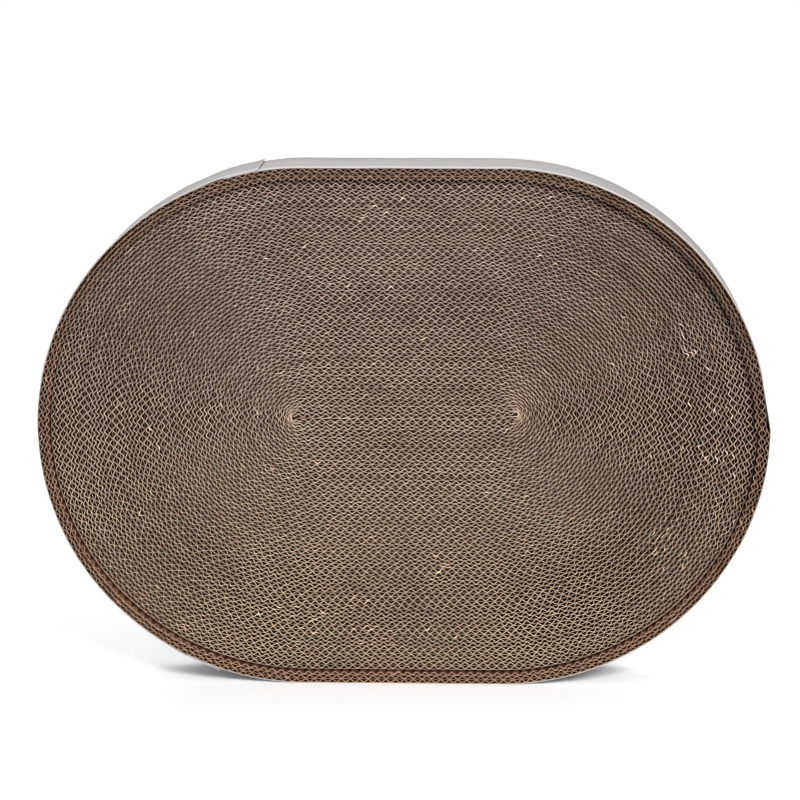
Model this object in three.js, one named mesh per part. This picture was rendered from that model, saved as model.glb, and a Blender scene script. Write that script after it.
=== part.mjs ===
// Cat scratch board: a strip of corrugated board wound into an oval, with a proud rim and a paper wrap.
// Millimetres, +Z up. It stands on its long edge, as photographed, with the scratch face towards -Y.
import * as THREE from 'three';

// The board and its winding
const ply = 2.673;           // one ply of single-face board: liner, flutes and glue
const glueGap = 0.6;         // clear gap between neighbouring turns, where the glue line is
const buttGap = 0.5;         // clear gap between the ends of strips that follow one another
const coreHalf = 76.8;       // half length of the flat run, at the very centre
const runLoss = 0.0513;      // how much half a straight run shortens from turn to turn, per radius
const foldCrush = 9.3;       // how far the plies at the round ends are pressed together by the folds
const crushReach = 20.7;     // radius within which most of that happens
const endSlack = 4.5;        // how much looser the outer plies lie at the round ends
const coreRise = 5.9;        // the core lies this far above the middle of the rim
const riseFrom = 90;         // out to this radius the plies lie round the core, and beyond it ever less
const startThickness = 0.9;  // thickness of the first row of the strip, which is pressed flat
const startSetback = 2.5;    // from the left-hand fold to the start of the strip
const pliesPerLoop = 3;      // plies in each loop of the field
const fieldLoops = 21;       // loops in the field
const rimTurns = 3;          // single-ply turns in the rim

// Widths from front to back
const rimWidth = 70;         // width of the rim strip, which is the depth of the board
const recess = 8;            // how far the field lies behind the rim
const wrapInset = 0.3;       // the wrap stops this far short of the rim's edges

// The paper wrap
const wrapThickness = 0.6;   // thickness of the wrap's paper
const upperLapRun = 30;      // round the left end, from the top straight to the upper lap's edge
const lowerLapRun = 59;      // round the left end, from the bottom straight to the lower lap's edge
const lapLength = 24;        // overlap of the two sheets at each lap
const lapClear = 2;          // the short sheet stays raised this far past the end of the long one
const lapRamp = 16;          // and comes down to the rim over this length

// Facets in half a turn
const coreFacets = 8;
const fieldFacets = 16;
const rimFacets = 32;

// Colours
const fieldColour = 0xb08d69;
const rimColour = 0x94704f;
const wrapColour = 0xc8c4c0;

const fullTurn = 2 * Math.PI;
const quarterTurn = Math.PI / 2;
const fieldWidth = rimWidth - recess;
const wrapWidth = rimWidth - 2 * wrapInset;
const loopThickness = pliesPerLoop * ply - glueGap;
const turnThickness = ply - glueGap;
const firstRimTurn = 1 + pliesPerLoop * fieldLoops;
const wrapTurn = firstRimTurn + rimTurns;
const foldEye = glueGap / 2;
const foldNarrow = 1 - foldCrush / crushReach;
const firstRadius = (startThickness + 2 * glueGap - ply / 2) / 2;

// Inner face of the winding: from the first run, above the middle, the radius grows by one ply in each turn.
function windingRadius(angle) {
  return firstRadius + ply * (angle - quarterTurn) / fullTurn;
}

// Inner face of the wrap, which lies on the last turn of the rim.
function wrapRadius(angle) {
  return windingRadius(wrapTurn * fullTurn + angle);
}

// A point of the oval: side 1 is its right-hand end and side -1 its left-hand end. The inner plies lie round
// the core, pressed together at its folds, and the outer ones round the middle of the rim.
const rimRadius = windingRadius(firstRimTurn * fullTurn);
function ovalPoint(radius, side, angle) {
  const outward = THREE.MathUtils.smoothstep(radius, riseFrom, rimRadius);
  const half = coreHalf - runLoss * radius;
  const crush = foldCrush * Math.tanh(radius / crushReach);
  const reach = radius * (1 + runLoss) - crush + endSlack * outward;
  const rise = coreRise * (1 - outward);
  return new THREE.Vector2(side * half + reach * Math.cos(angle), radius * Math.sin(angle) + rise);
}

// Which end of the oval the winding is on just before or just after an angle.
function sideAt(angle) {
  return Math.cos(angle) > 0 ? 1 : -1;
}

// Stations along the winding between two angles. Every straight run lies between the ends of two arcs.
function windingStations(from, to, facets) {
  const step = Math.PI / facets;
  const tiny = step / 1000;
  const stations = [];
  const add = (angle, side) => stations.push({ angle, side, radius: windingRadius(angle) });
  add(from, sideAt(from + tiny));
  for (let i = Math.floor((from + tiny) / step) + 1; i * step < to - tiny; i += 1) {
    const angle = i * step;
    add(angle, sideAt(angle - tiny));
    if (sideAt(angle - tiny) !== sideAt(angle + tiny)) {
      add(angle, sideAt(angle + tiny));
    }
  }
  add(to, sideAt(to - tiny));
  return stations;
}

// The two faces of a strip that follows the stations.
function stripFaces(stations, thickness) {
  const inner = stations.map((s) => ovalPoint(s.radius, s.side, s.angle));
  const outer = stations.map((s) => ovalPoint(s.radius + thickness, s.side, s.angle));
  return { inner, outer };
}

// The wrap stands on the floor, and the middle of the board lies over the origin.
const floorLevel = wrapRadius(3 * quarterTurn) + wrapThickness;
const middleX = (wrapRadius(fullTurn) - wrapRadius(Math.PI)) / 2;

// A strip of the given width, its back edge at the given distance behind the middle of the board.
function strip(name, faces, width, back, colour, roughness) {
  const outline = new THREE.Shape([...faces.inner, ...faces.outer.slice().reverse()]);
  const geometry = new THREE.ExtrudeGeometry(outline, { depth: width, bevelEnabled: false });
  geometry.rotateX(quarterTurn);
  geometry.translate(-middleX, back, floorLevel);
  const material = new THREE.MeshStandardMaterial({ color: colour, roughness, metalness: 0 });
  const mesh = new THREE.Mesh(geometry, material);
  mesh.name = name;
  return mesh;
}

// One turn of the winding, open at the right-hand extreme.
function openTurn(turn, thickness, facets) {
  const start = turn * fullTurn;
  const trim = buttGap / 2 / (windingRadius(start) + thickness / 2);
  return stripFaces(windingStations(start + trim, start + fullTurn - trim, facets), thickness);
}

const board = new THREE.Group();
board.name = 'cat_scratch_board';
const backFace = rimWidth / 2;
const turns = [];

// The start of the strip: a row pressed flat, and the right-hand fold up into the first turn. Its inner face
// is the fluted side.
const coreEnd = fullTurn - buttGap / 2 / windingRadius(fullTurn);
const core = stripFaces(windingStations(quarterTurn, coreEnd, coreFacets), turnThickness);
const lead = { inner: [], outer: [] };
function addLead(x, angle, thickness) {
  const centre = new THREE.Vector2(x, coreRise + firstRadius - foldEye);
  const way = new THREE.Vector2(foldNarrow * Math.cos(angle), Math.sin(angle));
  lead.inner.push(centre.clone().addScaledVector(way, foldEye));
  lead.outer.push(centre.clone().addScaledVector(way, foldEye + thickness));
}
addLead(startSetback - coreHalf, -quarterTurn, startThickness);
for (let i = 0; i <= coreFacets; i += 1) {
  const share = i / coreFacets;
  const thickness = THREE.MathUtils.lerp(startThickness, turnThickness, share);
  addLead(coreHalf, share * Math.PI - quarterTurn, thickness);
}
core.inner.unshift(...lead.inner);
core.outer.unshift(...lead.outer);
board.add(strip('core_fold_strip', core, fieldWidth, backFace, fieldColour, 0.9));
turns.push(core);

// The field
for (let loop = 0; loop < fieldLoops; loop += 1) {
  const faces = openTurn(1 + pliesPerLoop * loop, loopThickness, fieldFacets);
  const name = `field_strip_${String(loop + 1).padStart(2, '0')}`;
  board.add(strip(name, faces, fieldWidth, backFace, fieldColour, 0.9));
  turns.push(faces);
}

// The rim
for (let turn = 0; turn < rimTurns; turn += 1) {
  const faces = openTurn(firstRimTurn + turn, turnThickness, rimFacets);
  board.add(strip(`rim_strip_${turn + 1}`, faces, rimWidth, backFace, rimColour, 0.9));
  turns.push(faces);
}

// Where the two sheets of the wrap lap, as angles on the left-hand end
const upperEdge = quarterTurn + upperLapRun / wrapRadius(quarterTurn);
const lowerEdge = 3 * quarterTurn - lowerLapRun / wrapRadius(3 * quarterTurn);
const perLength = 1 / wrapRadius(Math.PI);
const longTop = upperEdge + lapLength * perLength;
const longBottom = lowerEdge - lapLength * perLength;
const lapAngles = [];
for (const reach of [0, lapLength, lapLength + lapClear, lapLength + lapClear + lapRamp]) {
  lapAngles.push(upperEdge + reach * perLength, lowerEdge - reach * perLength);
}

// Stations of the left-hand end that both sheets share, in order from the top
const wrapStep = Math.PI / rimFacets;
const leftAngles = [...lapAngles];
for (let i = 0; i <= rimFacets; i += 1) {
  const angle = quarterTurn + i * wrapStep;
  if (lapAngles.every((other) => Math.abs(other - angle) > wrapStep / 8)) {
    leftAngles.push(angle);
  }
}
leftAngles.sort((a, b) => a - b);

// The long sheet: from under the lower lap, along the bottom, round the right-hand end and back over the top
const longStations = [];
for (const angle of leftAngles.filter((a) => a >= longBottom)) {
  longStations.push({ angle, side: -1, radius: wrapRadius(angle) });
}
for (let i = rimFacets / 2; i >= 0; i -= 1) {
  const angle = fullTurn - i * wrapStep;
  longStations.push({ angle, side: 1, radius: wrapRadius(angle) });
}
// Above the tail of the rim it bridges the step to the turn below in one straight line.
for (let i = 2; i <= rimFacets / 2; i += 1) {
  const angle = i * wrapStep;
  longStations.push({ angle, side: 1, radius: wrapRadius(angle) });
}
for (const angle of leftAngles.filter((a) => a <= longTop)) {
  longStations.push({ angle, side: -1, radius: wrapRadius(angle) });
}
const longSheet = stripFaces(longStations, wrapThickness);
board.add(strip('wrap_long', longSheet, wrapWidth, backFace - wrapInset, wrapColour, 0.6));

// The short sheet: over the left-hand end, raised where it laps the long one
function lapLift(angle) {
  const fromEdge = Math.min(angle - upperEdge, lowerEdge - angle) / perLength;
  const down = (fromEdge - lapLength - lapClear) / lapRamp;
  return (wrapThickness + glueGap) * (1 - Math.min(Math.max(down, 0), 1));
}
const shortStations = [];
for (const angle of leftAngles.filter((a) => a >= upperEdge && a <= lowerEdge)) {
  shortStations.push({ angle, side: -1, radius: wrapRadius(angle) + lapLift(angle) });
}
const shortSheet = stripFaces(shortStations, wrapThickness);
board.add(strip('wrap_short', shortSheet, wrapWidth, backFace - wrapInset, wrapColour, 0.6));

// Least clear gap between one face and the next, taken from the points of both
function leastGap(faceA, faceB) {
  let least = Infinity;
  for (const [points, run] of [[faceA, faceB], [faceB, faceA]]) {
    for (const point of points) {
      for (let i = 1; i < run.length; i += 1) {
        const along = run[i].clone().sub(run[i - 1]);
        const share = point.clone().sub(run[i - 1]).dot(along) / along.lengthSq();
        const foot = run[i - 1].clone().addScaledVector(along, Math.min(Math.max(share, 0), 1));
        least = Math.min(least, foot.distanceTo(point));
      }
    }
  }
  return least;
}
const firstRun = core.inner.slice(lead.inner.length - 1);
let windingGap = leastGap(lead.outer, firstRun.slice(2));
for (let i = 1; i < turns.length; i += 1) {
  windingGap = Math.min(windingGap, leastGap(turns[i - 1].outer, turns[i].inner));
}
console.log(`least gap between the turns of the winding: ${windingGap.toFixed(3)} mm`);

export default board;
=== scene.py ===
"""Looks of a cat scratch board: corrugated board wound into an oval, a proud rim and a paper wrap."""

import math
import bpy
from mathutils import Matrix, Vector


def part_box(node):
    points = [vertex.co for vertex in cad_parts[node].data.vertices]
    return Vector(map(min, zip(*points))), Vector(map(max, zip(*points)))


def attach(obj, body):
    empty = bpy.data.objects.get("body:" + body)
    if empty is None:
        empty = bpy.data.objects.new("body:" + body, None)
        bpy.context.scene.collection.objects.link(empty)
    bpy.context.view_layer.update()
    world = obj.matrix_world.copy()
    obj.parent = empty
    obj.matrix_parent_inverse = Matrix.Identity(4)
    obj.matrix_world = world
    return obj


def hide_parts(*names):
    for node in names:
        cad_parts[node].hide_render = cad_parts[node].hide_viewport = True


bl_info = {
    "name": "Cat Scratch Board",
    "version": (1, 0, 0),
    "blender": (4, 5, 0),
    "location": "View3D > Sidebar > Scratch Board",
    "description": "Makes the wound plies, the rim, the paper wrap and the stage of a cat scratch board",
    "category": "Object",
}

from typing import NamedTuple

import bpy
import numpy as np
from bpy.props import FloatProperty, FloatVectorProperty, IntProperty, PointerProperty
from mathutils import Vector

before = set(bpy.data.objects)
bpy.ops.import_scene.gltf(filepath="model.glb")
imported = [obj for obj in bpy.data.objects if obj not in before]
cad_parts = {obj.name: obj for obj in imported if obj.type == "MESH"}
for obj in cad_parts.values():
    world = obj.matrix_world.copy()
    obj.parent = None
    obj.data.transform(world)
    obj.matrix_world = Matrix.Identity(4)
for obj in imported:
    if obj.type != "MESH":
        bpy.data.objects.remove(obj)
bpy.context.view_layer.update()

FIELD_NODES = sorted(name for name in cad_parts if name.startswith("field_strip_"))
RIM_NODES = sorted(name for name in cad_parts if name.startswith("rim_strip_"))
CORE_NODE = "core_fold_strip"
BACK = float(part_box(RIM_NODES[0])[1][1])
RIM_FRONT = float(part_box(RIM_NODES[0])[0][1])
FIELD_FRONT = float(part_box(FIELD_NODES[0])[0][1])
WRAP_FRONT = float(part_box("wrap_long")[0][1])
WRAP_BACK = float(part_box("wrap_long")[1][1])
WRAP_WIDTH = WRAP_BACK - WRAP_FRONT

# Shares of a turn, which starts at the right extreme and goes over the top
FULL_TURN = 2.0 * math.pi
TOP = 0.25
LEFT = 0.5
BOTTOM = 0.75

# The two ends of the oval, as its points are mixed from them
RIGHT_END = 1.0
LEFT_END = -1.0

# Waves: stations in one, stations in one of the core, sharpness, and share of the height that a fold takes
FLUTE_STEPS = 8
CORE_FLUTE_STEPS = 16
FLUTE_SHARPNESS = 1.15
CRUSHED_SHARE = 0.65

# Liner: longest stretch per radius on a tight turn, and stretches that share a tone
STEP_PER_RADIUS = 0.12
TONE_STEPS = 4

# Tears: where in a wave they lie, half length in waves, chance in a torn place, and wear of field and rim
TEAR_PLACES = (0.1, 0.9)
TEAR_REACH = 0.22
TEAR_CHANCE = 0.34
FIELD_WEAR = 1.0
RIM_WEAR = 0.6

# Texture map: rows of a cell for the front edge, the back edge, the two faces and an end, the margins, and
# the cells left free between two ribbons
ROW_LOWS = np.array((0.0, 0.42, 0.6, 0.8, 0.0))
ROW_HEIGHTS = np.array((0.42, 0.18, 0.2, 0.2, 1.0))
FACE_ROW = 2
END_ROW = 4
CELL_MARGIN = 0.05
ROW_MARGIN = 0.06
SPARE_CELL = 1

# Cut edges: pale share at tone 0 on the floor, gain per tone, losses per metre upwards and to the right,
# which are painted light and painted shade, and warm share on the floor with its loss per metre upwards
EDGE_PALE = 0.99
PALE_PER_TONE = 0.26
PALE_LOSS_UP = 1.0
PALE_LOSS_RIGHT = 0.3
EDGE_WARM = 1.3
WARM_LOSS_UP = 4.5

# Torn lips: tone above which their faces are pale, how pale at the cut, and how fast that fades
TORN_FROM = 0.6
TORN_AT_CUT = 1.4
TORN_LOSS = 3.0

# Wrap: where painted shade darkens its face towards the back, how strongly and to what, and the pale line
# along its front, partly wear and partly a painted highlight
REAR_FROM = 0.55
REAR_SHADE = 0.9
REAR_DARK = 0.3
PALE_BAND_WIDTH = 0.008
PALE_BAND_WANDER = 0.006
PALE_BAND_FALL = 1.6
PALE_BAND_MOST = 0.85

# Ripples of the wrap: share of their height, rate along it, slant and start
RIPPLES = (
    (0.5, 61.0, 2.0, 0.0),
    (0.3, 143.0, -3.0, 1.3),
)

# Stage: colour and tint of the floor, and place, aim, size and tint of the two lights
FLOOR_COLOUR = (0.8, 0.8, 0.8, 1.0)
FLOOR_TINT = (0.975, 1.0, 1.025)
KEY_LIGHT = ((1.20, -3.40, 2.00), (0.0, 0.0, 0.18), (1.1, 1.1), (1.0, 0.99, 0.97))
BACK_LIGHT = ((-0.3, 1.5, 1.6), (0.0, 0.15, 0.0), (2.4, 1.0), (1.0, 1.0, 1.0))

# Places where the cut has torn the paper: x and z from the middle of the board, and reach
FRAY_SPOTS = (
    (0.203, 0.054, 0.010),
    (0.218, 0.014, 0.010),
    (0.216, -0.022, 0.009),
    (0.186, -0.085, 0.012),
    (0.233, -0.069, 0.008),
    (-0.093, -0.134, 0.011),
    (-0.064, -0.138, 0.009),
    (-0.025, -0.146, 0.013),
    (-0.018, 0.149, 0.008),
    (0.025, -0.104, 0.009),
)

# Slits between two turns along the bottom run: number of the inner turn, x, half length and height
SLITS = (
    (2, -0.0293, 0.0055, 0.0009),
    (2, 0.0057, 0.0065, 0.0008),
)


def srgb(red, green, blue):
    """A colour given as display values from 0 to 255, as the linear values that shaders take."""
    shares = (value / 255.0 for value in (red, green, blue))
    return tuple(v / 12.92 if v <= 0.04045 else ((v + 0.055) / 1.055) ** 2.4 for v in shares)


def length(name, description, default):
    """A size in metres."""
    return FloatProperty(name=name, description=description, default=default, unit="LENGTH", precision=5)


def share(name, description, default):
    """A plain fraction."""
    return FloatProperty(name=name, description=description, default=default, subtype="FACTOR", precision=4)


def number(name, description, default, unit="NONE"):
    """A plain number."""
    return FloatProperty(name=name, description=description, default=default, unit=unit)


def point(name, description, default):
    """A place or a shift in metres."""
    return FloatVectorProperty(name=name, description=description, default=default, size=len(default),
                               subtype="XYZ", unit="LENGTH", precision=4)


def colour(name, description, default):
    """A surface colour."""
    return FloatVectorProperty(name=name, description=description, default=default, subtype="COLOR", size=3,
                               min=0.0, max=1.0)


class WindingSizes(bpy.types.PropertyGroup):
    """Sizes of the oval spiral that the strip follows."""

    ply: length("Ply", "One ply of single-face board with its glue", 0.002673)
    glue: length("Glue gap", "Gap that the glue line takes between two turns", 0.0006)
    start_thickness: length("Start thickness", "Thickness of the first row, which is pressed flat", 0.0009)
    core_half: length("Core half", "Half length of the flat run at the very centre", 0.0768)
    run_loss: share("Run loss", "How much half a straight run shortens outwards, per radius", 0.0513)
    fold_crush: length("Fold crush", "How far the folds press the plies at the ends together", 0.0093)
    crush_reach: length("Crush reach", "Radius within which most of that happens", 0.0207)
    hard_crush: length("Hard crush", "How much of that is lost right at the folds", 0.0055)
    hard_reach: length("Hard crush reach", "Radius within which that is lost", 0.0095)
    bend_lead: length("Bend lead", "How much sooner the inner plies leave their straight runs", 0.0180)
    end_slack: length("End slack", "How much looser the outer plies lie at the ends", 0.0045)
    core_rise: length("Core rise", "How far the core lies above the middle of the rim", 0.0059)
    rise_from: length("Rise from", "Radius beyond which the plies lie ever less round the core", 0.090)
    start_setback: length("Start setback", "From the left-hand fold to the start of the strip", 0.0015)
    plies_per_loop: IntProperty(name="Plies per loop", description="Plies in each loop of the field",
                                default=3)
    start_press: length("Start press", "Thickness of the first row as it shows in front", 0.0012)
    start_level: length("Start level", "Upper face of the first row above the middle of the core", -0.0001)
    start_curl: length("Start curl", "How far the start of the strip is bent down", 0.0012)
    curl_reach: length("Curl reach", "Length of that bend", 0.0020)
    slot: length("Slot", "Gap between the first row and the row below it, near its start", 0.0002)
    slot_reach: length("Slot reach", "Length over which that gap closes", 0.0300)
    wedge: length("Wedge", "How much further that gap is open at its wedge", 0.0012)
    wedge_at: length("Wedge place", "From the left-hand fold to that wedge", 0.0290)
    wedge_reach: length("Wedge reach", "Half length of that wedge", 0.0080)
    left_eye: length("Left eye", "Height of the eye inside the left-hand fold", 0.0025)
    right_eye: length("Right eye", "Height of the eye inside the right-hand fold", 0.0023)
    eye_width: length("Eye width", "Half width of the eyes", 0.0010)
    eye_reach: length("Eye reach", "Length over which an eye closes", 0.0022)
    join_reach: length("Join reach", "Length over which the row below joins the right-hand fold", 0.0066)
    fold_width: length("Fold width", "How far the right-hand fold reaches past the middle of its eye", 0.0012)
    left_shift: point("Left shift", "How far the left-hand fold has slipped", (0.0008, 0.0))
    right_shift: point("Right shift", "How far the right-hand fold has slipped", (0.0026, 0.0020))
    shift_reach: length("Shift reach", "How far round a fold the plies have slipped with it", 0.0160)
    squeeze: length("Squeeze", "How far the rows on each side are pressed against the first row", 0.0006)
    squeeze_rise: length("Squeeze rise", "Half height within which most of that happens", 0.0020)
    squeeze_reach: length("Squeeze reach", "How far out from the core it is lost again", 0.0400)
    fold_reach: length("Fold reach", "How far round a fold the flutes are crushed", 0.0042)


class BoardSizes(bpy.types.PropertyGroup):
    """Sizes of the corrugated board and of its wear."""

    flute_pitch: length("Flute pitch", "Length of one wave of the fluted medium", 0.00628)
    medium: length("Medium", "Thickness of the fluted medium at its cut edge", 0.00040)
    liner: length("Liner", "Thickness of the liner at its cut edge", 0.00028)
    liner_setback: length("Liner setback", "How far the liner's cut edge lies behind the flutes", 0.00020)
    liner_step: length("Liner step", "Length of one straight stretch of the liner", 0.0031)
    fold_step: length("Fold step", "The same round the folds of the core", 0.0005)
    bulge: length("Bulge", "How far the plies bulge outwards half way back", 0.0027)
    bulge_plies: IntProperty(name="Bulge plies", description="Plies next to the core and the wrap over which "
                             "the bulge is lost", default=8)
    skew: length("Skew", "How far the flutes of those plies lie askew half way back", 0.0031)
    skew_reach: length("Skew reach", "Length over which that grows from the ends of a ply", 0.0124)
    lip: length("Lip", "Depth of the front lip of the paper that wear can bend", 0.0028)
    pitch_scatter: share("Pitch scatter", "How far the waves differ in length", 0.035)
    crush: share("Crush", "How far the waves differ in height", 0.05)
    lip_scatter: length("Lip scatter", "How far the lips wander sideways", 0.00008)
    cut_scatter: length("Cut scatter", "How uneven the cut is, front to back", 0.00012)
    fray_chance: share("Fray chance", "Share of waves that are frayed away from the torn places", 0.004)
    fray_bend: length("Fray bend", "How far a frayed lip is bent over", 0.0010)
    fray_spread: number("Fray spread", "How many times wider a frayed lip is", 2.1)
    # Depths behind the cut at which the painted shade inside the flutes is darkest
    field_shade: length("Field shade", "Depth behind the cut at which the field's faces are darkest", 0.0018)
    rim_shade: length("Rim shade", "The same on the rim", 0.005)
    bare_shade: length("Bare shade", "The same on the bare inner face of the rim", 0.0125)


class WrapSizes(bpy.types.PropertyGroup):
    """Sizes of the two sheets of the wrap."""

    thickness: length("Thickness", "Thickness of the wrap's paper", 0.0006)
    upper_lap_run: length("Upper lap", "Round the left end, from the top straight to the upper lap", 0.030)
    lower_lap_run: length("Lower lap", "Round the left end, from the bottom straight to the lower lap", 0.059)
    lap_length: length("Lap length", "Overlap of the two sheets", 0.024)
    lap_clear: length("Lap clear", "How far past the lower sheet's end the upper one stays raised", 0.002)
    lap_ramp: length("Lap ramp", "Length over which the upper sheet comes down to the rim", 0.018)
    lap_lift: length("Lap lift", "Height of the upper sheet over the rim at the lap", 0.00065)
    edge_flare: length("Edge flare", "How far the free edge of the upper sheet stands off", 0.0008)
    flare_reach: length("Flare reach", "Length over which that is lost", 0.008)
    softness: length("Softness", "Width of the softened cut edges", 0.00018)
    ripple: length("Ripple", "Height of the paper's slow ripples", 0.00016)
    ripple_from: length("Ripple from", "Height above the floor at which the ripples start", 0.012)
    ripple_rise: length("Ripple rise", "Height over which they reach their full size", 0.02)
    bridge: share("Bridge", "Share of a turn that the long sheet spans freely above the rim's tail", 0.03125)


class BoardColours(bpy.types.PropertyGroup):
    """Colours of the papers."""

    field_cut: colour("Field cut edge", "Pale cut edges of the field", srgb(244, 221, 198))
    field_cut_warm: colour("Field cut edge, warm", "The same lower down", srgb(247, 217, 184))
    field_cut_dark: colour("Field cut edge, dark", "Browner cut edges of the field", srgb(118, 86, 64))
    # Kraft faces are darkened near the cut, and the deep colours are painted shade inside the flutes
    field_kraft: colour("Field kraft", "Faces of the field's papers near the cut", srgb(84, 52, 34))
    field_painted_shade: colour("Field kraft, deep", "The same faces deep inside the flutes", srgb(8, 5, 3))
    rim_cut: colour("Rim cut edge", "Cut edges of the rim", srgb(220, 183, 155))
    rim_cut_warm: colour("Rim cut edge, warm", "The same lower down", srgb(218, 178, 146))
    rim_cut_dark: colour("Rim cut edge, dark", "Browner cut edges of the rim", srgb(92, 62, 46))
    # The rim's kraft the same way: darkened near the cut, with painted shade deep inside the flutes
    rim_kraft: colour("Rim kraft", "Faces of the rim's papers near the cut", srgb(84, 52, 36))
    rim_bare: colour("Rim kraft, bare", "Flutes of the rim's inner face, which lie bare", srgb(122, 78, 57))
    rim_painted_shade: colour("Rim kraft, deep", "Faces of the rim's papers deep inside the flutes", srgb(12, 7, 5))
    wrap_paper: colour("Wrap paper", "Smooth face of the wrap", srgb(165, 161, 158))
    wrap_shade: colour("Wrap paper, shaded", "Faint clouds in the wrap's face", srgb(153, 150, 147))
    # The pale front colour is the cut and worn edge and also a painted highlight along the front of the face
    wrap_wear_and_sheen: colour("Wrap edge", "Pale cut and worn front edge of the wrap", srgb(214, 217, 221))


class StageSettings(bpy.types.PropertyGroup):
    """Camera, light and floor."""

    camera_place: point("Camera", "Place of the camera", (0.080, -2.435, 0.598))
    camera_aim: point("Aim", "Point at the middle of the picture", (-0.0020, -0.035, 0.2009))
    lens: number("Lens", "Focal length in millimetres", 158.96)
    floor: number("Floor", "How brightly the lit floor shows", 1.5)
    sky: number("Sky", "Strength of the even studio light", 0.40)
    key_power: number("Key", "Power of the soft key light", 118.0, "POWER")
    back_power: number("Back", "Power of the light behind the board", 22.0, "POWER")


def bump(x, at, reach):
    """A smooth hump of height 1."""
    return np.exp(-(((x - at) / reach) ** 2))


def smooth(x):
    """A smooth step from 0 to 1."""
    x = np.clip(x, 0.0, 1.0)
    return x * x * (3.0 - 2.0 * x)


class Winding:
    """The oval spiral of the strip in the front view: x and z in metres."""

    def __init__(self, sizes, wrap):
        self.sizes = sizes
        self.ply = sizes.ply
        self.first_radius = (sizes.start_thickness + 2.0 * sizes.glue - sizes.ply / 2.0) / 2.0
        self.rim_turn = 1 + sizes.plies_per_loop * len(FIELD_NODES)
        self.wrap_turn = self.rim_turn + len(RIM_NODES)
        self.rim_radius = self.radius(self.rim_turn)
        self.middle = np.array((-self.ply / 4.0, self.radius(self.wrap_turn + BOTTOM) + wrap.thickness))
        level = sizes.core_rise + sizes.start_level
        self.left_fold = self.middle + (-sizes.core_half, level - sizes.left_eye / 2.0)
        self.right_fold = self.middle + (sizes.core_half, level + sizes.right_eye / 2.0)

    def radius(self, turn):
        """Radius of the inner face after a number of turns, which are counted from the right extreme."""
        return self.first_radius + self.ply * (turn - TOP)

    def place(self, turn, mix, offset):
        """Points outside the inner face by an offset. Mix goes from the right end to the left one."""
        sizes = self.sizes
        radius = self.radius(turn) + offset
        outward = smooth((radius - sizes.rise_from) / (self.rim_radius - sizes.rise_from))
        near_fold = np.tanh(radius / sizes.crush_reach)
        lead = sizes.bend_lead * near_fold * (1.0 - outward)
        half = sizes.core_half - sizes.run_loss * radius - lead
        crush = sizes.fold_crush * near_fold
        crush += sizes.hard_crush * (np.tanh(radius / sizes.hard_reach) - near_fold)
        reach = radius * (1.0 + sizes.run_loss) - crush + lead + sizes.end_slack * outward
        angle = FULL_TURN * turn
        x = mix * half + reach * np.cos(angle)
        z = radius * np.sin(angle) + sizes.core_rise * (1.0 - outward)
        return np.column_stack((x, z)) + self.middle

    def settled(self, points):
        """Points after the folds have slipped and the rows have been pressed against the first one."""
        sizes = self.sizes
        level = self.middle[1] + sizes.core_rise + sizes.start_level - sizes.start_press / 2.0
        above = points[:, 1] - level
        pressed = np.tanh(above / sizes.squeeze_rise) * bump(above, 0.0, sizes.squeeze_reach)
        moved = points.copy()
        moved[:, 1] -= sizes.squeeze * pressed
        for fold, shift in ((self.left_fold, sizes.left_shift), (self.right_fold, sizes.right_shift)):
            away = np.hypot(*(points - fold).T)
            moved += bump(away, 0.0, sizes.shift_reach)[:, None] * np.array(shift)
        return moved

    def crushed(self, points):
        """How strongly points are crushed by the nearer fold of the core, from 0 to 1."""
        folds = self.settled(np.array((self.left_fold, self.right_fold)))
        away = np.minimum(*(np.hypot(*(points - fold).T) for fold in folds))
        return bump(away, 0.0, self.sizes.fold_reach)


def one_turn(arc_steps=90, run_steps=160):
    """Close stations round one turn from the right extreme: share of the turn, and mix of the two ends."""
    quarter = np.linspace(0.0, TOP, arc_steps)
    half = np.linspace(TOP, BOTTOM, 2 * arc_steps)
    along = np.linspace(RIGHT_END, LEFT_END, run_steps)
    level = np.ones(run_steps)
    right = np.full(arc_steps, RIGHT_END)
    left = np.full(2 * arc_steps, LEFT_END)
    turn = np.concatenate((quarter, TOP * level, half, BOTTOM * level, quarter + BOTTOM))
    mix = np.concatenate((right, along, left, -along, right))
    return turn, mix


class Run:
    """A ply between its inner and its outer face, with its length worked out."""

    def __init__(self, inner, outer, ply, least_step=1e-9):
        middle = (inner + outer) / 2.0
        steps = np.hypot(*np.diff(middle, axis=0).T)
        apart = np.concatenate(([True], steps > least_step))
        self.ply = ply
        self.pressed_until = 0.0
        self.from_ends = 0
        self.lengths = np.concatenate(([0.0], np.cumsum(steps)))[apart]
        self.length = self.lengths[-1]
        along = np.gradient(middle[apart], self.lengths, axis=0)
        outward = np.column_stack((along[:, 1], -along[:, 0])) / np.hypot(*along.T)[:, None]
        thickness = np.sum((outer - inner)[apart] * outward, axis=1)
        self.across = outward * thickness[:, None] / ply
        self.steep = outward[:, 0] ** 2
        self.inner = middle[apart] - self.across * ply / 2.0

    def place(self, distance, offset):
        """Points at distances along the ply and offsets from its inner face."""
        inner, across = (np.column_stack([np.interp(distance, self.lengths, column) for column in rows.T])
                         for rows in (self.inner, self.across))
        return inner + across * np.reshape(offset, (-1, 1))


def turn_run(winding, number):
    """The ply of one whole turn, with the slits beside it."""
    turn, mix = one_turn()
    inner = winding.place(turn + number, mix, 0.0)
    outer = winding.place(turn + number, mix, winding.ply)
    for slit, x, half_length, height in SLITS:
        open_by = height / 2.0 * bump(inner[:, 0], x, half_length) * (turn == BOTTOM)
        outer[:, 1] += open_by * (number == slit)
        inner[:, 1] -= open_by * (number == slit + 1)
    run = Run(winding.settled(inner), winding.settled(outer), winding.ply)
    run.from_ends = min(number, winding.wrap_turn - 1 - number)
    return run


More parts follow.
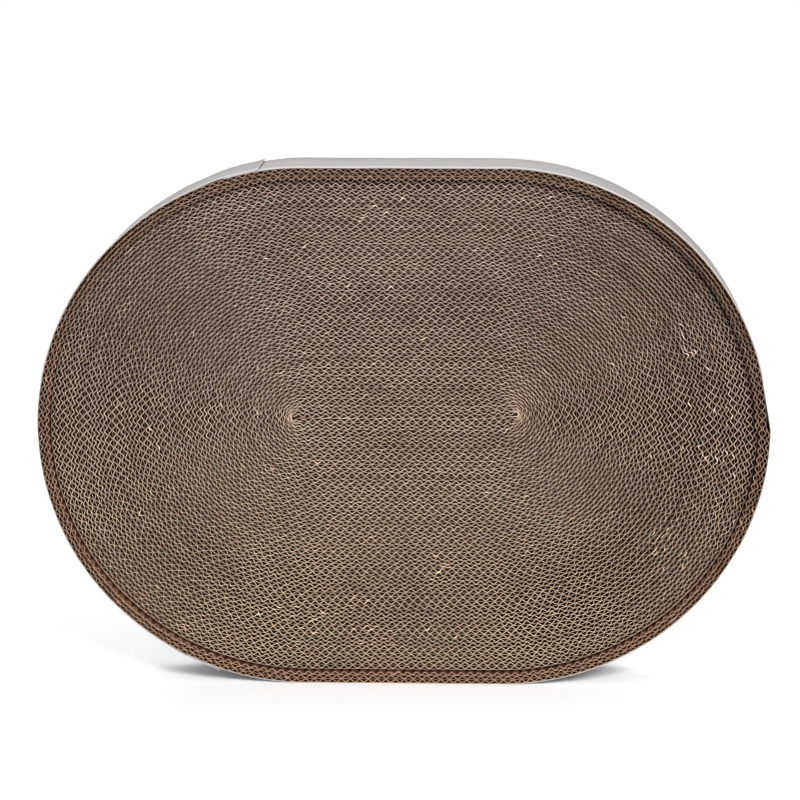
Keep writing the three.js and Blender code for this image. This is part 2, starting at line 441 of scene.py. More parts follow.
def core_run(winding, row_steps=320, fold_steps=40):
    """The start of the strip: a row pressed flat, the right-hand fold, and the first turn round both."""
    sizes, ply = winding.sizes, winding.ply
    left, right = winding.left_fold, winding.right_fold
    level = winding.middle[1] + sizes.core_rise + sizes.start_level
    start = left[0] + sizes.start_setback
    row = np.linspace(start, right[0], row_steps)
    upper = level - sizes.start_curl * bump(row, start, sizes.curl_reach)

    turn, mix = one_turn()
    begin = np.flatnonzero(turn == TOP)[0]
    turn, mix = turn[begin:], mix[begin:]
    inner = winding.place(turn, mix, 0.0)
    outer = winding.place(turn, mix, ply)
    x, z = inner.T
    above, below, round_left = turn == TOP, turn == BOTTOM, (turn > TOP) & (turn < BOTTOM)
    z[above] = level + sizes.right_eye * bump(x[above], right[0], sizes.eye_reach)
    angle = FULL_TURN * turn[round_left]
    x[round_left] = left[0] + sizes.eye_width * np.cos(angle)
    z[round_left] = left[1] + sizes.left_eye / 2.0 * np.sin(angle)
    floor = level - sizes.start_press - sizes.slot * bump(x, left[0], sizes.slot_reach)
    floor -= sizes.wedge * bump(x, left[0] + sizes.wedge_at, sizes.wedge_reach)
    floor -= (sizes.left_eye - sizes.start_press - sizes.slot) * bump(x, left[0], sizes.eye_reach)
    at_right = bump(x, right[0], sizes.join_reach)
    z[below] = (floor + (z - floor) * at_right)[below]

    bend = np.linspace(-math.pi / 2.0, math.pi / 2.0, fold_steps)
    way = np.column_stack((np.cos(bend), np.sin(bend)))
    low, high = upper[-1] - sizes.start_press, outer[0, 1]
    fold_middle = np.array((right[0], (low + high) / 2.0))
    inner = np.concatenate((np.column_stack((row, upper)),
                            right + way * (sizes.eye_width / 2.0, sizes.right_eye / 2.0), inner))
    outer = np.concatenate((np.column_stack((row, upper - sizes.start_press)),
                            fold_middle + way * (sizes.fold_width, (high - low) / 2.0), outer))
    run = Run(winding.settled(inner), winding.settled(outer), ply)
    run.pressed_until = right[0] - start
    return run


class Ply(NamedTuple):
    """One ply on its run, with what its papers are made from."""

    run: Run
    winding: Winding
    board: BoardSizes
    draw: np.random.Generator
    wear: float


class Paper(NamedTuple):
    """How one of the two papers of a ply tears, and the tone of its cut edge. A higher tone is paler."""

    wear: float  # share of the tears that it takes
    bends: tuple  # least and most share of the bend of a torn lip
    drawn_back: float  # how far a bent lip is drawn back, per bend
    tone: float  # mean tone
    stretch_scatter: float  # scatter of the tone from stretch to stretch
    ply_scatter: float  # and from ply to ply
    slanting: float  # change of the tone where the ply runs at a slant, painted light and shade
    upright: float  # and where it runs upright, painted shade
    crushed: float  # where a fold crushes it
    pressed: float  # along the first row
    flat: float  # near the start of that row
    torn: float  # where the lip is torn


MEDIUM = Paper(wear=1.0, bends=(0.4, 1.0), drawn_back=0.35, tone=0.1, stretch_scatter=0.4, ply_scatter=0.3,
               slanting=-1.75, upright=-0.3, crushed=0.8, pressed=-0.9, flat=-2.6, torn=2.2)
# The liner's low mean tone is partly the liner's own tone and partly painted shade on its set-back cut edge
LINER = Paper(wear=0.5, bends=(0.3, 0.8), drawn_back=0.3, tone=-1.2, stretch_scatter=0.3, ply_scatter=0.4,
              slanting=2.75, upright=-1.3, crushed=1.2, pressed=0.0, flat=-1.8, torn=1.8)


class Ribbon:
    """One paper of a ply: its lines at the lip, half way back and elsewhere, its cut, tone and thickness."""

    def __init__(self, ply, paper, distance, offset, stretch, crushed, torn, bend, thickness, setback):
        """Stations of one stretch share a tone. Bend is how far the lip is bent over."""
        run, board, draw = ply.run, ply.board, ply.draw
        count = len(distance)
        lip = draw.normal(0.0, board.lip_scatter, count) + bend
        self.cut = setback + draw.normal(0.0, board.cut_scatter, count) - np.abs(bend) * paper.drawn_back
        tone = draw.normal(paper.tone, paper.stretch_scatter, stretch[-1] + 1)[stretch]
        tone += draw.normal(0.0, paper.ply_scatter)
        steep = np.interp(distance, run.lengths, run.steep)
        pressed = distance < run.pressed_until
        flat = pressed * bump(distance, 0.0, ply.winding.sizes.slot_reach)
        # Painted light and shade: the tone changes with how steeply the ply runs
        tone += 4.0 * paper.slanting * steep * (1.0 - steep) + paper.upright * steep
        tone += paper.torn * torn + paper.crushed * crushed + paper.pressed * pressed + paper.flat * flat
        self.tone = tone
        self.thickness = np.full(count, thickness)
        self.lip_thickness = thickness * (1.0 + (board.fray_spread - 1.0) * np.maximum(torn, flat))
        bulged = min(run.from_ends / board.bulge_plies, 1.0)
        from_end = np.minimum(distance, run.length - distance)
        askew = board.skew * (1.0 - bulged) * np.clip(from_end / board.skew_reach, 0.0, 1.0)
        self.line = run.place(distance, offset)
        self.lip_line = run.place(distance, offset + lip)
        self.middle_line = run.place(distance + askew, offset + board.bulge * bulged)


def tears(ply, paper, points):
    """Which places of the front view are torn, and how far the lip of each is bent over."""
    count = len(points)
    chance = np.full(count, ply.board.fray_chance)
    for x, z, reach in FRAY_SPOTS:
        distance = np.hypot(*(points - ply.winding.middle - (x, z)).T)
        chance += TEAR_CHANCE * bump(distance, 0.0, reach)
    torn = ply.draw.random(count) < ply.wear * paper.wear * chance
    bend = torn * ply.draw.uniform(*paper.bends, count) * ply.draw.choice((-1.0, 1.0), count)
    return torn, bend * ply.board.fray_bend


def medium_ribbon(ply, start, steps):
    """The fluted medium of a ply. Start is the number of waves that the strip has made before it."""
    run, board, draw = ply.run, ply.board, ply.draw
    end = start + run.length / board.flute_pitch
    wave = np.arange(math.floor(start * steps) + 1, math.ceil(end * steps)) / steps
    wave = np.concatenate(([start], wave, [end]))
    first = math.floor(start)
    count = math.ceil(end) - first
    flute = np.minimum(np.floor(wave).astype(int) - first, count - 1)
    phase = wave - first - flute
    pinned = np.minimum(np.minimum(wave - start, end - wave), 1.0)
    wander = draw.normal(0.0, board.pitch_scatter, count + 1)
    wander = np.interp(wave - first, np.arange(count + 1), wander)
    distance = (wave - start + pinned * wander) * board.flute_pitch
    crushed = ply.winding.crushed(run.place(distance, run.ply / 2.0))
    room = run.ply - board.liner
    height = (room - board.medium) / 2.0 * (1.0 - np.abs(draw.normal(0.0, board.crush, count)))
    swing = np.sin(FULL_TURN * wave)
    swing = np.sign(swing) * np.abs(swing) ** FLUTE_SHARPNESS * (1.0 - CRUSHED_SHARE * crushed)
    offset = room / 2.0 + height[flute] * swing
    centres = run.place((first + np.arange(count) + 0.5 - start) * board.flute_pitch, run.ply / 2.0)
    torn, bend = tears(ply, MEDIUM, centres)
    window = bump(phase, draw.uniform(*TEAR_PLACES, count)[flute], TEAR_REACH)
    return Ribbon(ply, MEDIUM, distance, offset, flute, crushed, torn[flute] * window, bend[flute] * window,
                  thickness=1.0, setback=0.0)


def liner_ribbon(ply, step):
    """The flat liner of a ply, on the outer side of its flutes."""
    run, board = ply.run, ply.board
    count = max(round(run.length / step), 2) + 1
    distance = np.linspace(0.0, run.length, count)
    offset = np.full(count, run.ply - board.liner / 2.0)
    line = run.place(distance, offset)
    torn, bend = tears(ply, LINER, line)
    stretch = np.arange(count) // TONE_STEPS
    return Ribbon(ply, LINER, distance, offset, stretch, ply.winding.crushed(line), torn, bend,
                  thickness=board.liner / board.medium, setback=board.liner_setback)


def select_only(piece):
    """Leave one object selected and active."""
    bpy.ops.object.select_all(action="DESELECT")
    piece.select_set(True)
    bpy.context.view_layer.objects.active = piece


def apply_modifier(piece, name, kind, **settings):
    """Add a modifier with its settings and apply it."""
    modifier = piece.modifiers.new(name, kind)
    for key, value in settings.items():
        setattr(modifier, key, value)
    select_only(piece)
    bpy.ops.object.modifier_apply(modifier=modifier.name)


def thicken(piece, papers, thickness, **settings):
    """Give a sheet its two papers, for its faces and its cut edges, and its thickness."""
    for paper in papers:
        piece.data.materials.append(paper)
    apply_modifier(piece, "Paper", "SOLIDIFY", thickness=thickness, offset=0.0, material_offset_rim=1,
                   **settings)


def point_values(mesh, name, kind, values):
    """Store one value for each vertex of a mesh."""
    layer = mesh.attributes.new(name, kind, "POINT")
    layer.data.foreach_set("value", values)


def read_points(mesh, name, kind):
    """Read one value for each vertex of a mesh."""
    values = np.empty(len(mesh.vertices), dtype=kind)
    mesh.attributes[name].data.foreach_get("value", values)
    return values


def read_places(mesh):
    """Places of a mesh's vertices, one row each."""
    places = np.empty(len(mesh.vertices) * 3)
    mesh.vertices.foreach_get("co", places)
    return places.reshape(-1, 3)


def pull_ribbons(name, lines, near, pulls):
    """Draw lines across the front view and pull them along Y into ribbons."""
    points = np.concatenate(lines)
    ends = np.cumsum([len(line) for line in lines])
    chain = np.column_stack((np.arange(len(points) - 1), np.arange(1, len(points))))
    chain = np.delete(chain, ends[:-1] - 1, axis=0)
    places = np.column_stack((points[:, 0], np.full(len(points), near), points[:, 1]))
    mesh = bpy.data.meshes.new(name)
    mesh.from_pydata(places.tolist(), chain.tolist(), [])
    number = np.arange(len(points)) + np.repeat(np.arange(len(lines)) * SPARE_CELL, np.diff(ends, prepend=0))
    point_values(mesh, "station", "INT", number.astype(np.int32))
    piece = bpy.data.objects.new(name, mesh)
    bpy.context.scene.collection.objects.link(piece)
    select_only(piece)
    bpy.ops.object.mode_set(mode="EDIT")
    bpy.ops.mesh.select_all(action="SELECT")
    for pull in pulls:
        bpy.ops.mesh.extrude_edges_move(TRANSFORM_OT_translate={"value": (0.0, pull, 0.0)})
    bpy.ops.object.mode_set(mode="OBJECT")
    return piece


def tidy_shell(piece, sharp):
    """Turn the faces outwards and shade smooth what bends by less than a number of degrees."""
    select_only(piece)
    bpy.ops.object.mode_set(mode="EDIT")
    bpy.ops.mesh.select_all(action="SELECT")
    bpy.ops.mesh.normals_make_consistent(inside=False)
    bpy.ops.object.mode_set(mode="OBJECT")
    bpy.ops.object.shade_smooth_by_angle(angle=math.radians(sharp))


def ring_numbers(places, marks):
    """Which of the marked depths each of some places lies at."""
    return np.rint(np.interp(places[:, 1], marks, np.arange(len(marks)))).astype(int)


def ribbon_map(piece, marks):
    """A texture map with one cell for each stretch of paper, most of it for the cut edge in front."""
    mesh = piece.data
    station = read_points(mesh, "station", np.int32)
    ring = ring_numbers(read_places(mesh), marks)
    shell = (np.arange(len(station)) >= len(station) // 2).astype(int)
    corner = np.empty(len(mesh.loops), dtype=np.int32)
    mesh.loops.foreach_get("vertex_index", corner)
    face = corner.reshape(-1, 4)
    first = station[face].min(axis=1)
    along = station[face] - first[:, None]
    rings, shells = ring[face], shell[face]
    flat_ring = rings.max(axis=1) == rings.min(axis=1)
    flat_shell = shells.max(axis=1) == shells.min(axis=1)
    row = np.where(flat_ring, rings[:, 0] > 0, np.where(flat_shell, FACE_ROW + shells[:, 0], END_ROW))
    across = np.where(flat_ring[:, None], shells, rings / (len(marks) - 1.0))
    end = row == END_ROW
    along = np.where(end[:, None], shells, along)
    starts = np.isin(first, station) & ~np.isin(first - 1, station)
    first = np.where(end & starts, first - 1, first) + 1
    columns = math.ceil(math.sqrt(first.max() + 1))
    u = first[:, None] % columns + CELL_MARGIN + (1.0 - 2.0 * CELL_MARGIN) * along
    v = ROW_MARGIN + (1.0 - 2.0 * ROW_MARGIN) * across
    v = first[:, None] // columns + ROW_LOWS[row][:, None] + v * ROW_HEIGHTS[row][:, None]
    layer = mesh.uv_layers.new(name="OFBake")
    layer.data.foreach_set("uv", np.stack((u / columns, v / columns), axis=-1).ravel())


def corrugated_strip(name, ribbons, front, board, papers):
    """Plies of corrugated board as one piece: each paper is pulled from its lip to the back and thickened."""
    lip_y = front + board.lip
    marks = (front, lip_y, (lip_y + BACK) / 2.0, BACK)
    piece = pull_ribbons(name, [ribbon.line for ribbon in ribbons], front, np.diff(marks).tolist())
    mesh = piece.data
    station = read_points(mesh, "station", np.int32)
    places = read_places(mesh)
    ring = ring_numbers(places, marks)

    def along(part):
        """One part of all ribbons, by the number of the station."""
        values = [getattr(ribbon, part) for ribbon in ribbons]
        spare = np.full((SPARE_CELL, *values[0].shape[1:]), np.nan)
        return np.concatenate([np.concatenate((value, spare)) for value in values])[station]

    ahead, half_way = ring == 0, ring == 2
    places[ahead, 0::2] = along("lip_line")[ahead]
    places[ahead, 1] = front + along("cut")[ahead]
    places[half_way, 0::2] = along("middle_line")[half_way]
    mesh.vertices.foreach_set("co", places.ravel())
    point_values(mesh, "tone", "FLOAT", along("tone").astype(np.float32))
    shares = np.where(ahead, along("lip_thickness"), along("thickness")) / board.fray_spread
    shares = np.round(shares, 2)
    group = piece.vertex_groups.new(name="thickness")
    for amount in np.unique(shares):
        group.add(np.flatnonzero(shares == amount).tolist(), float(amount), "REPLACE")
    thicken(piece, papers, board.medium * board.fray_spread, vertex_group=group.name)
    piece.vertex_groups.clear()
    tidy_shell(piece, sharp=50.0)
    ribbon_map(piece, marks)
    mesh.attributes.remove(mesh.attributes["station"])
    return piece


def math_method(operation, swapped=False):
    """A method that adds a Math node for a socket and another value."""

    def method(self, other):
        pair = (other, self) if swapped else (self, other)
        return self.paint.node("ShaderNodeMath", {"operation": operation}, dict(enumerate(pair)))

    return method


class Value:
    """A socket in a material. Arithmetic on it adds Math nodes."""

    def __init__(self, paint, socket):
        self.paint = paint
        self.socket = socket

    __add__ = __radd__ = math_method("ADD")
    __sub__ = math_method("SUBTRACT")
    __rsub__ = math_method("SUBTRACT", swapped=True)
    __mul__ = __rmul__ = math_method("MULTIPLY")
    __truediv__ = math_method("DIVIDE")
    at_least = math_method("MAXIMUM")
    at_most = math_method("MINIMUM")

    def bounded(self):
        return self.at_least(0.0).at_most(1.0)

    def swing(self, amount):
        """A noise from 0 to 1 as a change of up to half an amount either way."""
        return (self - 0.5) * amount


class Nodes:
    """A node tree to which nodes are added with their settings and links."""

    def __init__(self, tree):
        self.tree = tree

    def node(self, kind, settings=None, inputs=None, output=0):
        """Add a node: its settings first, then its sockets' values or links. Returns one output."""
        node = self.tree.nodes.new(kind)
        for key, value in (settings or {}).items():
            setattr(node, key, value)
        for key, value in (inputs or {}).items():
            self.feed(node.inputs[key], value)
        return Value(self, node.outputs[output])

    def feed(self, socket, value):
        """Set or link one socket."""
        if isinstance(value, Value):
            self.tree.links.new(value.socket, socket)
        else:
            socket.default_value = value

    def seen(self):
        """1 for rays that come from the camera, straight or by a mirror or a clear body."""
        kinds = ("Camera", "Glossy", "Transmission")
        camera, glossy, clear = (self.node("ShaderNodeLightPath", output=f"Is {kind} Ray") for kind in kinds)
        return (camera + glossy + clear).at_most(1.0)


class Paint(Nodes):
    """A node material under one Principled shader."""

    def __init__(self, name):
        self.material = bpy.data.materials.new(name)
        self.material.use_nodes = True
        super().__init__(self.material.node_tree)
        self.shader = self.tree.nodes["Principled BSDF"]

    def place(self):
        """Object coordinates."""
        return self.node("ShaderNodeTexCoord", output="Object")

    def axis(self, letter):
        """One of the object coordinates."""
        return self.node("ShaderNodeSeparateXYZ", None, {"Vector": self.place()}, output=letter)

    def tone(self):
        """The tone that is stored along each paper."""
        return self.node("ShaderNodeAttribute", {"attribute_name": "tone"}, output="Fac")

    def noise(self, scale, detail=2.0, stretch=(1.0, 1.0, 1.0)):
        """A noise from 0 to 1 in object coordinates."""
        place = self.node("ShaderNodeMapping", None, {"Vector": self.place(), "Scale": stretch})
        return self.node("ShaderNodeTexNoise", None, {"Vector": place, "Scale": scale, "Detail": detail})

    def mix(self, amount, first, second):
        """A blend of two colours."""
        settings = {"data_type": "RGBA"}
        colours = [c if isinstance(c, Value) else (*c, 1.0) for c in (first, second)]
        return self.node("ShaderNodeMix", settings, {0: amount, 6: colours[0], 7: colours[1]}, output=2)

    def finish(self, base, fibres, roughness, strength, specular, depth=0.0002):
        """Feed the shader: colour, the bump of the fibres, roughness and shine."""
        inputs = {"Strength": strength, "Distance": depth, "Height": fibres}
        self.feed(self.shader.inputs["Base Color"], base)
        self.feed(self.shader.inputs["Roughness"], roughness)
        self.feed(self.shader.inputs["Normal"], self.node("ShaderNodeBump", None, inputs))
        self.shader.inputs["Specular IOR Level"].default_value = specular
        return self.material


def cut_edge_paper(name, pale, warm, dark):
    """The cut edge of the paper: pale torn fibres, warmer lower down, with browner stretches, and painted
    light and shade that make it paler lower down and darker to the right.
    """
    paint = Paint(name)
    fibres = paint.noise(scale=1400.0, detail=3.0)
    patches = paint.noise(scale=16.0)
    height = paint.axis("Z")
    # Tone of each stretch, with painted light paler lower down and painted shade darker to the right
    wear_and_painted_light = PALE_PER_TONE * paint.tone() - PALE_LOSS_UP * height - PALE_LOSS_RIGHT * paint.axis("X")
    amount = (EDGE_PALE + wear_and_painted_light + fibres.swing(0.5) + patches.swing(0.4)).bounded()
    low = (EDGE_WARM - WARM_LOSS_UP * height).bounded()
    base = paint.mix(amount, dark, paint.mix(low, pale, warm))
    return paint.finish(base, fibres, roughness=0.96 - 0.12 * fibres, strength=0.5, specular=0.2)


def kraft_paper(name, front, reach, kraft, deep, pale):
    """The faces of the papers: brown kraft, darkened near the cut and going to painted shade deeper inside
    the flutes, and pale where a lip is torn.
    """
    paint = Paint(name)
    fibres = paint.noise(scale=900.0, detail=4.0, stretch=(1.0, 0.25, 1.0))
    clouds = paint.noise(scale=90.0)
    depth = paint.axis("Y")
    # Painted shade: the kraft darkens with distance from both the cut and the back
    inside = (depth - front).at_most(BACK - depth) / reach
    shade = (inside + fibres.swing(0.5) + clouds.swing(0.4)).bounded()
    torn = (paint.tone() - TORN_FROM).bounded() * (TORN_AT_CUT - TORN_LOSS * inside).bounded()
    base = paint.mix(torn, paint.mix(shade, kraft, deep), pale)
    return paint.finish(base, fibres, roughness=0.92 - 0.15 * fibres, strength=0.3, specular=0.25)


def wrap_face(name, paper, shade, wear_and_painted_light):
    """The smooth wrap: faint clouds and fibres, painted shade towards the back, and a pale line along the
    front edge that is partly wear and partly a painted highlight.
    """
    paint = Paint(name)
    fibres = paint.noise(scale=700.0, detail=4.0, stretch=(1.0, 0.35, 1.0))
    clouds = paint.noise(scale=22.0, detail=3.0)
    pale_band_width = PALE_BAND_WIDTH + PALE_BAND_WANDER * paint.noise(scale=60.0)
    from_front = paint.axis("Y") - WRAP_FRONT
    # Painted shade: the face darkens towards the back
    rear = (from_front / WRAP_WIDTH - REAR_FROM).at_least(0.0)
    # Pale band along the front edge: partly wear, partly a painted highlight
    edge = (PALE_BAND_FALL - PALE_BAND_FALL * from_front / pale_band_width).bounded()
    amount = (0.5 + clouds.swing(0.9) + fibres.swing(0.5)).bounded()
    base = paint.mix(amount, shade, paper)
    base = paint.mix(REAR_SHADE * rear, base, tuple(REAR_DARK * part for part in shade))
    base = paint.mix(edge.at_most(PALE_BAND_MOST), base, wear_and_painted_light)
    roughness = 0.62 - 0.16 * clouds + 0.1 * edge
    return paint.finish(base, fibres, roughness=roughness, strength=0.12, specular=0.25)


def wrap_cut(name, wear_and_painted_light, shade):
    """The cut edge of the wrap's paper."""
    paint = Paint(name)
    fibres = paint.noise(scale=1600.0, detail=3.0)
    base = paint.mix((0.34 + fibres.swing(0.7)).bounded(), wear_and_painted_light, shade)
    return paint.finish(base, fibres, roughness=0.9 - 0.1 * fibres, strength=0.4, specular=0.2)


def field_papers(board, colours):
    """Face and cut edge of the field's papers, made once."""
    if "field_kraft" not in bpy.data.materials:
        kraft_paper("field_kraft", FIELD_FRONT, board.field_shade, colours.field_kraft, colours.field_painted_shade,
                    colours.field_cut)
        cut_edge_paper("field_cut_edge", colours.field_cut, colours.field_cut_warm, colours.field_cut_dark)
    return bpy.data.materials["field_kraft"], bpy.data.materials["field_cut_edge"]


def dress(piece, node):
    """Let a piece stand for a node of the frame: hang it from the root and hide the node's part."""
    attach(piece, "root")
    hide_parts(node)


def ply_ribbons(ply, start, steps, step):
    """The medium and the liner of one ply."""
    return [medium_ribbon(ply, start, steps), liner_ribbon(ply, step)]


class SCRATCHBOARD_OT_core(bpy.types.Operator):
    """Make the start of the strip: its first rows, the two folds and their eyes"""

    bl_idname = "scratchboard.core"
    bl_label = "Core fold"

    def execute(self, context):
        scene = context.scene
        board = scene.board_sizes
        winding = Winding(scene.winding_sizes, scene.wrap_sizes)
        ply = Ply(core_run(winding), winding, board, np.random.default_rng(seed=11), FIELD_WEAR)
        ribbons = ply_ribbons(ply, 0.0, CORE_FLUTE_STEPS, board.fold_step)
        papers = field_papers(board, scene.board_colours)
        piece = corrugated_strip("core_fold", ribbons, FIELD_FRONT, board, papers)
        dress(piece, CORE_NODE)
        return {"FINISHED"}


class SCRATCHBOARD_OT_field(bpy.types.Operator):
    """Make the loops of the scratch field, each with its plies of liner and flutes"""

    bl_idname = "scratchboard.field"
    bl_label = "Scratch field"

    def execute(self, context):
        scene = context.scene
        board = scene.board_sizes
        winding = Winding(scene.winding_sizes, scene.wrap_sizes)
        plies = scene.winding_sizes.plies_per_loop
        papers = field_papers(board, scene.board_colours)
        waves = core_run(winding).length / board.flute_pitch
        for number, node in enumerate(FIELD_NODES):
            draw = np.random.default_rng(seed=100 + number)
            ribbons = []
            for turn in range(1 + plies * number, 1 + plies * (number + 1)):
                ply = Ply(turn_run(winding, turn), winding, board, draw, FIELD_WEAR)
                step = min(board.liner_step, max(board.fold_step, STEP_PER_RADIUS * winding.radius(turn)))
                ribbons += ply_ribbons(ply, waves, FLUTE_STEPS, step)
                waves += ply.run.length / board.flute_pitch
            piece = corrugated_strip(f"field_loop_{number + 1:02d}", ribbons, FIELD_FRONT, board, papers)
            dress(piece, node)
        return {"FINISHED"}


class SCRATCHBOARD_OT_rim(bpy.types.Operator):
    """Make the wider turns of the rim, which stand proud of the field"""

    bl_idname = "scratchboard.rim"
    bl_label = "Rim"

    def execute(self, context):
        scene = context.scene
        board = scene.board_sizes
        colours = scene.board_colours
        winding = Winding(scene.winding_sizes, scene.wrap_sizes)
        cut_edge = cut_edge_paper("rim_cut_edge", colours.rim_cut, colours.rim_cut_warm, colours.rim_cut_dark)
        # The bare inner face of the rim fades to painted shade over a longer depth
        bare = kraft_paper("rim_kraft_bare", RIM_FRONT, board.bare_shade, colours.rim_bare, colours.rim_painted_shade,
                           colours.rim_cut)
        kraft = kraft_paper("rim_kraft", RIM_FRONT, board.rim_shade, colours.rim_kraft, colours.rim_painted_shade,
                            colours.rim_cut)
        waves = 0.37  # the strip of the rim starts part way through a wave
        for number, node in enumerate(RIM_NODES):
            draw = np.random.default_rng(seed=200 + number)
            ply = Ply(turn_run(winding, winding.rim_turn + number), winding, board, draw, RIM_WEAR)
            ribbons = ply_ribbons(ply, waves, FLUTE_STEPS, board.liner_step)
            waves += ply.run.length / board.flute_pitch
            papers = (kraft if number else bare, cut_edge)
            piece = corrugated_strip(f"rim_turn_{number + 1}", ribbons, RIM_FRONT, board, papers)
            dress(piece, node)
        return {"FINISHED"}


def wrap_sheet(name, line, lifts, wrap, papers, bands=6):
    """A sheet of the wrap: bands of paper with slow ripples, thickness and softened edges."""
    pulls = (WRAP_WIDTH / bands,) * bands
    piece = pull_ribbons(name, [line], WRAP_FRONT, pulls)
    mesh = piece.data
    station = read_points(mesh, "station", np.int32)
    places = read_places(mesh)
    along = np.concatenate(([0.0], np.cumsum(np.hypot(*np.diff(line, axis=0).T))))[station]
    tangent = np.gradient(line, axis=0)
    tangent /= np.hypot(*tangent.T)[:, None]
    outward = np.column_stack((tangent[:, 1], -tangent[:, 0]))[station]
    depth = places[:, 1] / WRAP_WIDTH
    ripple = sum(high * np.sin(along * rate + slant * depth + start) for high, rate, slant, start in RIPPLES)
    clear = np.clip((places[:, 2] - wrap.ripple_from) / wrap.ripple_rise, 0.0, 1.0)
    places[:, 0::2] += (wrap.ripple * ripple * clear + lifts[station])[:, None] * outward
    mesh.vertices.foreach_set("co", places.ravel())
    mesh.attributes.remove(mesh.attributes["station"])
    thicken(piece, papers, wrap.thickness)
    apply_modifier(piece, "Edges", "BEVEL", width=wrap.softness, segments=2, limit_method="ANGLE",
                   angle_limit=math.radians(60.0))
    tidy_shell(piece, sharp=40.0)
    return piece


class SCRATCHBOARD_OT_wrap(bpy.types.Operator):
    """Make the two paper sheets round the edge, lapped at the upper and the lower left"""

    bl_idname = "scratchboard.wrap"
    bl_label = "Paper wrap"

    def execute(self, context):
        scene = context.scene
        wrap = scene.wrap_sizes
        colours = scene.board_colours
        winding = Winding(scene.winding_sizes, wrap)
        papers = (wrap_face("wrap_paper", colours.wrap_paper, colours.wrap_shade, colours.wrap_wear_and_sheen),
                  wrap_cut("wrap_cut_edge", colours.wrap_wear_and_sheen, colours.wrap_shade))
        middle = wrap.thickness / 2.0
        base = winding.wrap_turn

        def line(first, last, mix_first, mix_last, steps):
            """A stretch of the paper's middle between two shares of a turn and two mixes of the ends."""
            turn = base + np.linspace(first, last, steps)
            return winding.place(turn, np.linspace(mix_first, mix_last, steps), middle)

        def turn_share(reach, at):
            """A length along the wrap as a share of a turn."""
            return reach / winding.radius(base + at) / FULL_TURN

        upper = TOP + turn_share(wrap.upper_lap_run, TOP)
        lower = BOTTOM - turn_share(wrap.lower_lap_run, BOTTOM)
        lap = turn_share(wrap.lap_length, LEFT)
        tail = line(1.0, 1.0, RIGHT_END, RIGHT_END, steps=1)[0]
        landing = line(wrap.bridge, wrap.bridge, RIGHT_END, RIGHT_END, steps=1)[0]
        stretches = (
            line(lower - lap, BOTTOM, LEFT_END, LEFT_END, steps=40),
            line(BOTTOM, BOTTOM, LEFT_END, RIGHT_END, steps=26),
            line(BOTTOM, 1.0, RIGHT_END, RIGHT_END, steps=92),
            np.linspace(tail, landing, num=14),
            line(wrap.bridge, TOP, RIGHT_END, RIGHT_END, steps=80),
            line(TOP, TOP, RIGHT_END, LEFT_END, steps=26),
            line(TOP, upper + lap, LEFT_END, LEFT_END, steps=26),
        )
        long_line = np.concatenate([stretches[0]] + [stretch[1:] for stretch in stretches[1:]])
        piece = wrap_sheet("wrap_long_sheet", long_line, np.zeros(len(long_line)), wrap, papers)
        dress(piece, "wrap_long")

        short_line = line(upper, lower, LEFT_END, LEFT_END, steps=170)
        shares = np.linspace(upper, lower, len(short_line))
        from_edge = np.minimum(shares - upper, lower - shares) * FULL_TURN * winding.radius(base + LEFT)
        down = smooth((from_edge - wrap.lap_length - wrap.lap_clear) / wrap.lap_ramp)
        flare = wrap.edge_flare * np.clip(1.0 - from_edge / wrap.flare_reach, 0.0, 1.0) ** 2
        piece = wrap_sheet("wrap_short_sheet", short_line, wrap.lap_lift * (1.0 - down) + flare, wrap, papers)
        dress(piece, "wrap_short")
        return {"FINISHED"}


def aimed(place, aim):
    """The turn of a light or a camera that looks from a place at a point."""
    return (Vector(aim) - Vector(place)).to_track_quat("-Z", "Y").to_euler()


def area_light(name, setting, power):
    """A soft oblong light aimed at a point."""
    place, aim, size, tint = setting
    lamp = bpy.data.lights.new(name, "AREA")
    lamp.shape = "RECTANGLE"
    lamp.size, lamp.size_y = size
    lamp.energy = power
    lamp.color = tint
    light = bpy.data.objects.new(name, lamp)
    light.location = place
    light.rotation_euler = aimed(place, aim)
    bpy.context.scene.collection.objects.link(light)


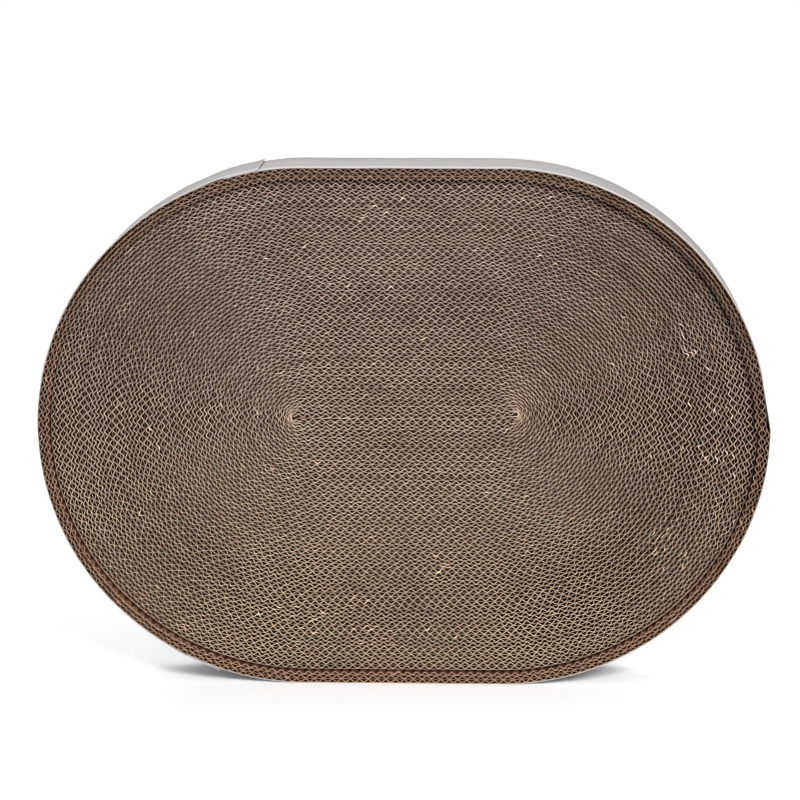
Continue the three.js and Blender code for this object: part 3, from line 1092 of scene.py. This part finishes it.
class SCRATCHBOARD_OT_stage(bpy.types.Operator):
    """Make the pale floor, the soft studio light and the camera"""

    bl_idname = "scratchboard.stage"
    bl_label = "Stage"

    def execute(self, context):
        scene = context.scene
        stage = scene.stage_settings
        bpy.ops.object.select_all(action="DESELECT")
        bpy.ops.mesh.primitive_plane_add(size=2.6, location=(0.0, 0.0, 0.0))
        floor = context.object
        floor.name = "floor"
        paint = Paint("studio_floor")
        plain = paint.node("ShaderNodeBsdfDiffuse", None, {"Color": FLOOR_COLOUR})
        tint = [stage.floor / 2.0 * part for part in FLOOR_TINT]
        half = paint.node("ShaderNodeBsdfDiffuse", None, {"Color": (*tint, 1.0)})
        white = paint.node("ShaderNodeAddShader", None, {0: half, 1: half})
        both = paint.node("ShaderNodeMixShader", None, {0: paint.seen(), 1: plain, 2: white})
        paint.feed(paint.tree.nodes["Material Output"].inputs["Surface"], both)
        floor.data.materials.append(paint.material)

        scene.world = bpy.data.worlds.new("studio")
        scene.world.use_nodes = True
        sky = Nodes(scene.world.node_tree)
        back = sky.tree.nodes["Background"]
        back.inputs["Color"].default_value = (1.0, 1.0, 1.0, 1.0)
        sky.feed(back.inputs["Strength"], sky.seen().at_least(stage.sky))

        area_light("key_light", KEY_LIGHT, stage.key_power)
        area_light("back_light", BACK_LIGHT, stage.back_power)

        lens = bpy.data.cameras.new("photo_camera")
        lens.lens = stage.lens
        lens.sensor_width = 36.0
        camera = bpy.data.objects.new("photo_camera", lens)
        camera.location = stage.camera_place
        camera.rotation_euler = aimed(stage.camera_place, stage.camera_aim)
        scene.collection.objects.link(camera)
        scene.camera = camera
        scene.view_settings.view_transform = "Standard"
        return {"FINISHED"}


class SCRATCHBOARD_PT_panel(bpy.types.Panel):
    """Sidebar panel of the board's pieces and sizes"""

    bl_idname = "SCRATCHBOARD_PT_panel"
    bl_label = "Scratch Board"
    bl_space_type = "VIEW_3D"
    bl_region_type = "UI"
    bl_category = "Scratch Board"

    def draw(self, context):
        for operator in OPERATORS:
            self.layout.operator(operator.bl_idname)
        for name, group in SETTINGS.items():
            box = self.layout.box()
            box.label(text=group.__doc__.rstrip("."))
            for key in group.__annotations__:
                box.prop(getattr(context.scene, name), key)


SETTINGS = {
    "winding_sizes": WindingSizes,
    "board_sizes": BoardSizes,
    "wrap_sizes": WrapSizes,
    "board_colours": BoardColours,
    "stage_settings": StageSettings,
}
OPERATORS = (
    SCRATCHBOARD_OT_core,
    SCRATCHBOARD_OT_field,
    SCRATCHBOARD_OT_rim,
    SCRATCHBOARD_OT_wrap,
    SCRATCHBOARD_OT_stage,
)
CLASSES = (*SETTINGS.values(), *OPERATORS, SCRATCHBOARD_PT_panel)


def register():
    """Add the classes and the scene's settings."""
    for cls in CLASSES:
        bpy.utils.register_class(cls)
    for name, group in SETTINGS.items():
        setattr(bpy.types.Scene, name, PointerProperty(type=group))


def unregister():
    """Take the settings and the classes away again."""
    for name in SETTINGS:
        delattr(bpy.types.Scene, name)
    for cls in reversed(CLASSES):
        bpy.utils.unregister_class(cls)


def main():
    """Make every piece in order, then the stage."""
    register()
    bpy.ops.scratchboard.core()
    bpy.ops.scratchboard.field()
    bpy.ops.scratchboard.rim()
    bpy.ops.scratchboard.wrap()
    bpy.ops.scratchboard.stage()


if __name__ == "__main__":
    main()
